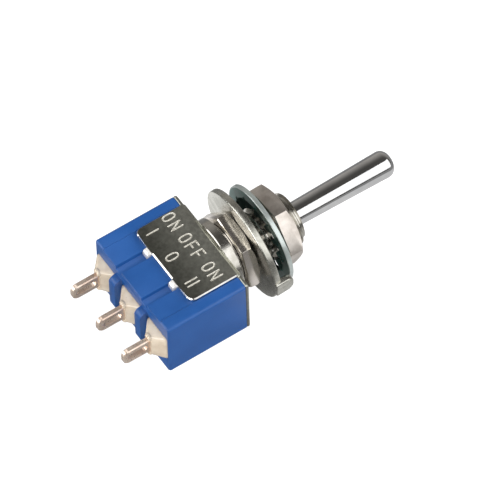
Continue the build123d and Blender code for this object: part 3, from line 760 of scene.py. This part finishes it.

# ---------------------------------------------------------------- lock washer
# A ring of hardened spring steel with twelve inner teeth, each twisted so that its corners bite, and
# a dark green passivated zinc plate, paler on the rim, with a painted highlight on the top face and painted
# shade on the teeth.


def passivated_green():
    """Dark green passivate with fine crystals of zinc, paler towards the rim, a painted highlight on the top
    face beyond the nut, and painted shade on the teeth.
    """
    material, bench = fresh_material("passivated_green")
    place = bench.add("ShaderNodeTexCoord", out="Object")
    crystal = bench.add("ShaderNodeTexVoronoi", {}, {"Vector": place, "Scale": 4200.0}, "Distance")
    cloud = bench.add("ShaderNodeTexNoise", {}, {"Vector": place, "Scale": 1500.0, "Detail": 4.0})
    flat = bench.add("ShaderNodeVectorMath", {"operation": "MULTIPLY"}, {0: place, 1: (1, 1, 0)})
    reach = bench.add("ShaderNodeVectorMath", {"operation": "LENGTH"}, {0: flat}, "Value")
    rim = reach.band(5.38 * mm, 5.54 * mm)
    height = bench.add("ShaderNodeSeparateXYZ", {}, {"Vector": place}, "Z")
    # painted highlight: the top face beyond the nut's corners is painted pale
    painted_top_highlight = height.band(1.35 * mm, 1.6 * mm) * reach.band(4.5 * mm, 4.62 * mm)
    colour = bench.blend(cloud.band(0.35, 0.7), (0.014, 0.066, 0.056, 1), (0.052, 0.155, 0.135, 1))
    colour = bench.blend(rim * 0.95, colour, (0.66, 0.72, 0.70, 1))
    colour = bench.blend(painted_top_highlight * (1 - rim), colour, (0.78, 0.77, 0.72, 1))
    # painted shade: the teeth, in the shaded gap between the washers, are painted dark
    shaded_teeth = 1 - reach.band(4.1 * mm, 4.4 * mm)
    colour = bench.blend(shaded_teeth, colour, (0.036, 0.072, 0.063, 1))
    skin = bench.add("ShaderNodeBump", {}, {"Strength": 0.35, "Distance": 0.005 * mm, "Height": crystal})
    gloss = 0.24 + 0.18 * cloud + 0.3 * shaded_teeth
    surface = bench.add(
        "ShaderNodeBsdfPrincipled",
        {},
        {"Base Color": colour, "Metallic": 0.8, "Roughness": gloss, "Normal": skin},
    )
    bench.add("ShaderNodeOutputMaterial", {}, {"Surface": surface})
    return material


tooth_labels = dict.fromkeys(("Reach", "Width", "Length", "Thickness", "Twist", "Level"), "Float")
tooth_bench, tooth_in = geometry_tree("washer_teeth", {"Count": "Int", **tooth_labels, "Plate": "Material"})
tooth_block = tooth_bench.add(
    "ShaderNodeCombineXYZ", {}, {"X": tooth_in["Length"], "Y": tooth_in["Width"], "Z": tooth_in["Thickness"]}
)
tooth = tooth_bench.add("GeometryNodeMeshCube", {}, {"Size": tooth_block})
twisted = tooth_bench.add("ShaderNodeCombineXYZ", {}, {"X": tooth_in["Twist"]})
rooted = tooth_bench.add("ShaderNodeCombineXYZ", {}, {"X": tooth_in["Length"] / 2, "Z": tooth_in["Level"]})
tooth = tooth_bench.add(
    "GeometryNodeTransform", {}, {"Geometry": tooth, "Rotation": twisted, "Translation": rooted}
)
circle = tooth_bench.add(
    "GeometryNodeMeshCircle", {}, {"Vertices": tooth_in["Count"], "Radius": tooth_in["Reach"]}
)
numbered = tooth_bench.add("GeometryNodeInputIndex")
spin = tooth_bench.add("ShaderNodeCombineXYZ", {}, {"Z": numbered * 2 * pi / tooth_in["Count"]})
teeth = tooth_bench.add(
    "GeometryNodeInstanceOnPoints", {}, {"Points": circle, "Instance": tooth, "Rotation": spin}
)
teeth = tooth_bench.add("GeometryNodeRealizeInstances", {}, {"Geometry": teeth})
teeth = tooth_bench.add("GeometryNodeSetMaterial", {}, {"Geometry": teeth, "Material": tooth_in["Plate"]})
tooth_bench.add("NodeGroupOutput", {}, {"Geometry": teeth})

lock_plate = passivated_green()
lock_low, lock_high, lock_bore, lock_rim = 1.4, 1.9, 4.2, 5.55
lock_drop, lock_tilt = 0.2, 2.6
tooth_size = {"Reach": 3.12, "Width": 1.05, "Length": 1.3, "Thickness": 0.40}
tooth_size["Level"] = (lock_low + lock_high) / 2
tooth_inputs = {label: size * mm for label, size in tooth_size.items()}
tooth_inputs.update({"Count": 12, "Twist": radians(14), "Plate": lock_plate})
teeth_mesh = with_nodes(bpy.data.meshes.new("teeth"), tooth_bench.tree, tooth_inputs, "lock_teeth")
ring_profile = [(lock_bore, lock_low), (lock_rim - 0.05, lock_low), (lock_rim, lock_low + 0.05)]
ring_profile += [(lock_rim, lock_high - 0.05), (lock_rim - 0.05, lock_high), (lock_bore, lock_high)]
ring = lathe(ring_profile, "lock_ring", 128)
ring.materials.append(lock_plate)
lock_mesh = combined(ring, teeth_mesh, "UNION", "toothed_washer")
laid(lock_mesh, lock_drop, lock_tilt)
put("toothed_washer", lock_mesh, lock_plate, "base", "washer_passivated", "lock_washer")

# ---------------------------------------------------------------- nuts
# Two hexagon nuts cut from drawn brass bar, chamfered where they are faced, and nickel plated. The
# inner one has its flats crowned by tumbling, and stands clear of the bushing's collar.

flat_reach = 4.0
flat_over_corner = cos(radians(30))


def hex_nut(name, low, high, turn, crown):
    """A hexagon nut with one flat facing turn, whose flats lean in below and above by crown in degrees."""
    bar = bmesh.new()
    rows = []
    half = (high - low) / 2
    for height, lean in ((low, crown[0]), (low + half, 0), (high, crown[1])):
        reach = (flat_reach - half * tan(radians(lean))) / flat_over_corner
        row = []
        for step in range(6):
            angle = radians(turn + 30 + 60 * step)
            row.append(bar.verts.new((reach * cos(angle) * mm, reach * sin(angle) * mm, height * mm)))
        rows.append(row)
    walls(bar, rows)
    upright = [e for e in bar.edges if abs(e.verts[0].co.z - e.verts[1].co.z) > 0.1 * mm]
    bmesh.ops.bevel(bar, geom=upright, offset=0.05 * mm, segments=2, profile=0.5, affect="EDGES")
    foot_rim = [e for e in bar.edges if max(v.co.z for v in e.verts) < (low + 0.01) * mm]
    bmesh.ops.bevel(bar, geom=foot_rim, offset=0.09 * mm, segments=1, profile=0.5, affect="EDGES")
    outer, bore = flat_reach + 0.8, 3.0
    shoulder = high - 0.02
    fall = (outer - flat_reach) * tan(radians(30))
    blank = [(bore + 0.2, low), (outer, low), (outer, shoulder - fall), (flat_reach, shoulder)]
    blank += [(flat_reach - 0.1, high), (bore + 0.2, high), (bore, high - 0.2), (bore, low + 0.2)]
    turned_blank = lathe(blank, name + "_blank", 120, 12)
    return combined(turned_blank, as_mesh(bar, name + "_bar"), "INTERSECT", name, 20)


for node, name, turn, crown, low_gloss, dull_and_shaded in (
    ("inner_nut", "collar_nut", -80, (6, 10), 0.12, (0.80, 0.74, 0.67, 1)),
    ("outer_nut", "panel_nut", -40, (1, 1), 0.26, (0.60, 0.545, 0.49, 1)),
):
    low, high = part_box(node)
    nut_mesh = hex_nut(name, low.z / mm, high.z / mm, turn, crown)
    pale = (0.92, 0.86, 0.80, 1)
    nut_nickel = bright_metal(name + "_nickel", dull_and_shaded, pale, low_gloss, 0.14, scale=420.0)
    put(name, nut_mesh, nut_nickel, "base", "nut_nickel", node)

# ---------------------------------------------------------------- terminals
# Slotted lugs blanked from brass strip and silver plated, dull where they have been handled, with
# edges rolled over by the blanking tool.

lug_dull, lug_pale = (0.80, 0.61, 0.49, 1), (1.0, 0.85, 0.72, 1)
lug_silver = bright_metal(
    "lug_silver", lug_dull, lug_pale, 0.2, 0.2, scale=700.0, relief=0.003, metallic=0.74
)
for side in ("left", "centre", "right"):
    node = f"{side}_terminal"
    lug_mesh = worked_copy(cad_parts[node].data, f"{side}_lug", 0.1, 1)
    put(f"{side}_lug", lug_mesh, lug_silver, "base", "terminal_silver", node)

# ---------------------------------------------------------------- terminal seals
# Cream epoxy poured into each well of the case, round the lug that stands in it. It wets the lug's
# shoulders, cures into a glossy mound, and leaves a small bead at each edge of the lug.


def cream_epoxy():
    """Glossy cream epoxy with soft clouds and a few darker specks."""
    material, bench = fresh_material("cream_epoxy")
    place = bench.add("ShaderNodeTexCoord", out="Object")
    cloud = bench.add("ShaderNodeTexNoise", {}, {"Vector": place, "Scale": 900.0, "Detail": 4.0})
    speck = bench.add("ShaderNodeTexVoronoi", {}, {"Vector": place, "Scale": 2600.0}, "Distance")
    colour = bench.blend(cloud.band(0.3, 0.7), (0.66, 0.55, 0.42, 1), (0.77, 0.67, 0.535, 1))
    colour = bench.blend((1 - speck.band(0.03, 0.14)) * 0.5, colour, (0.30, 0.22, 0.13, 1))
    skin = bench.add("ShaderNodeBump", {}, {"Strength": 0.4, "Distance": 0.02 * mm, "Height": cloud})
    surface = bench.add(
        "ShaderNodeBsdfPrincipled",
        {},
        {"Base Color": colour, "Roughness": 0.10 + 0.12 * cloud, "Normal": skin, "IOR": 1.6},
    )
    bench.add("ShaderNodeOutputMaterial", {}, {"Surface": surface})
    return material


seal_epoxy = cream_epoxy()
case_end = -14.15
seal_half_y, shoulder_half_y, shoulder_half_x = 1.79, 1.6, 0.62
blade_half_x, blade_half_y, blade_middle, blade_length = 0.3, 1.55, -15.0, 10.0


def poured_seal(name, low, high, lug_x):
    """A mound over a well: a rounded rectangle that closes in on the lug's shoulder as it climbs."""
    shape = bmesh.new()
    sides = 48
    middle_x = (low.x + high.x) / 2 / mm
    half_x = (high.x - low.x) / 2 / mm
    rings = []
    levels = [(0.0, 1.2), (0.0, 0.02), (0.02, -0.06), (0.1, -0.17), (0.25, -0.33), (0.42, -0.50)]
    levels += [(0.6, -0.69), (0.78, -0.88), (0.9, -1.02), (0.97, -1.1), (1.0, -1.15)]
    for closing, rise in levels:
        centre = middle_x + (lug_x - middle_x) * closing
        reach_x = half_x + (shoulder_half_x - half_x) * closing
        reach_y = seal_half_y + (shoulder_half_y - seal_half_y) * closing
        power = 9 - 6.0 * closing
        ring = []
        for step in range(sides):
            angle = 2 * pi * (step + 0.5) / sides
            size = (abs(cos(angle)) ** power + abs(sin(angle)) ** power) ** (-1 / power)
            bump = 1 - 0.012 * closing * sin(3 * angle + lug_x)
            x = centre + reach_x * cos(angle) * size * bump
            y = reach_y * sin(angle) * size * bump
            ring.append(shape.verts.new((x * mm, y * mm, (case_end + rise) * mm)))
        rings.append(ring)
    walls(shape, rings)
    crease(shape, 50)
    mesh = as_mesh(shape, name + "_pour")
    for foot_y, size in ((-1.32, 0.44), (1.32, 0.38)):
        bead = bmesh.new()
        foot = Vector((lug_x + 0.05, foot_y, case_end - 1.12))
        place = Matrix.Translation(foot * mm) @ Matrix.Diagonal((1.15, 0.9, 0.75, 1))
        bmesh.ops.create_icosphere(bead, subdivisions=3, radius=size * mm, matrix=place)
        mesh = combined(mesh, as_mesh(bead, name + "_bead"), "UNION", name + "_beaded", 50)
    blade = bmesh.new()
    place = Matrix.Translation(Vector((lug_x, 0, blade_middle)) * mm)
    size = Matrix.Diagonal((2 * blade_half_x * mm, 2 * blade_half_y * mm, blade_length * mm, 1))
    bmesh.ops.create_cube(blade, size=1.0, matrix=place @ size)
    return combined(mesh, as_mesh(blade, name + "_blade"), "DIFFERENCE", name, 50)


for side, lug_x in (("left", -4.7), ("centre", 0.0), ("right", 4.7)):
    node = f"{side}_terminal_seal"
    low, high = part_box(node)
    seal_mesh = poured_seal(f"{side}_seal", low, high, lug_x)
    put(f"{side}_seal", seal_mesh, seal_epoxy, "base", "seal_epoxy", node)

# ---------------------------------------------------------------- works inside the case
# The plunger of natural acetal, its music-wire spring, the silver-plated rocker, and the contact
# buttons brazed to the rocker and to the end terminals. They keep their machined shapes.


def natural_acetal():
    """Natural acetal: milky white, waxy, with faint turning marks."""
    material, bench = fresh_material("natural_acetal")
    place = bench.add("ShaderNodeTexCoord", out="Object")
    cloud = bench.add("ShaderNodeTexNoise", {}, {"Vector": place, "Scale": 900.0, "Detail": 3.0})
    turned_marks = {"Vector": place, "Scale": 4000.0, "Distortion": 0.5}
    rings = bench.add("ShaderNodeTexWave", {"bands_direction": "Z"}, turned_marks)
    colour = bench.blend(cloud.band(0.3, 0.7), (0.82, 0.81, 0.76, 1), (0.90, 0.89, 0.85, 1))
    skin = bench.add("ShaderNodeBump", {}, {"Strength": 0.3, "Distance": 0.003 * mm, "Height": rings})
    surface = bench.add(
        "ShaderNodeBsdfPrincipled",
        {},
        {"Base Color": colour, "Roughness": 0.34 + 0.12 * cloud, "Normal": skin, "IOR": 1.48},
    )
    bench.add("ShaderNodeOutputMaterial", {}, {"Surface": surface})
    return material


fine_silver = bright_metal("fine_silver", (0.7, 0.69, 0.66, 1), (0.84, 0.83, 0.8, 1), 0.24, 0.2, 1500.0)
music_wire = bright_metal("music_wire", (0.3, 0.3, 0.32, 1), (0.5, 0.5, 0.52, 1), 0.22, 0.15, 2500.0)
ground_steel = bright_metal("ground_steel", (0.42, 0.42, 0.44, 1), (0.58, 0.58, 0.6, 1), 0.2, 0.15, 1200.0)
silvered_brass = bright_metal(
    "silvered_brass", (0.62, 0.59, 0.54, 1), (0.78, 0.75, 0.7, 1), 0.2, 0.15, scale=900.0
)
inner_finishes = {
    "plunger": natural_acetal(),
    "pivot_pin": ground_steel,
    "plunger_spring": music_wire,
    "rocker": silvered_brass,
    "left_rocker_button": fine_silver,
    "right_rocker_button": fine_silver,
    "left_fixed_button": fine_silver,
    "right_fixed_button": fine_silver,
}
for node, finish in inner_finishes.items():
    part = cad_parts[node]
    part.data.materials.clear()
    part.data.materials.append(finish)
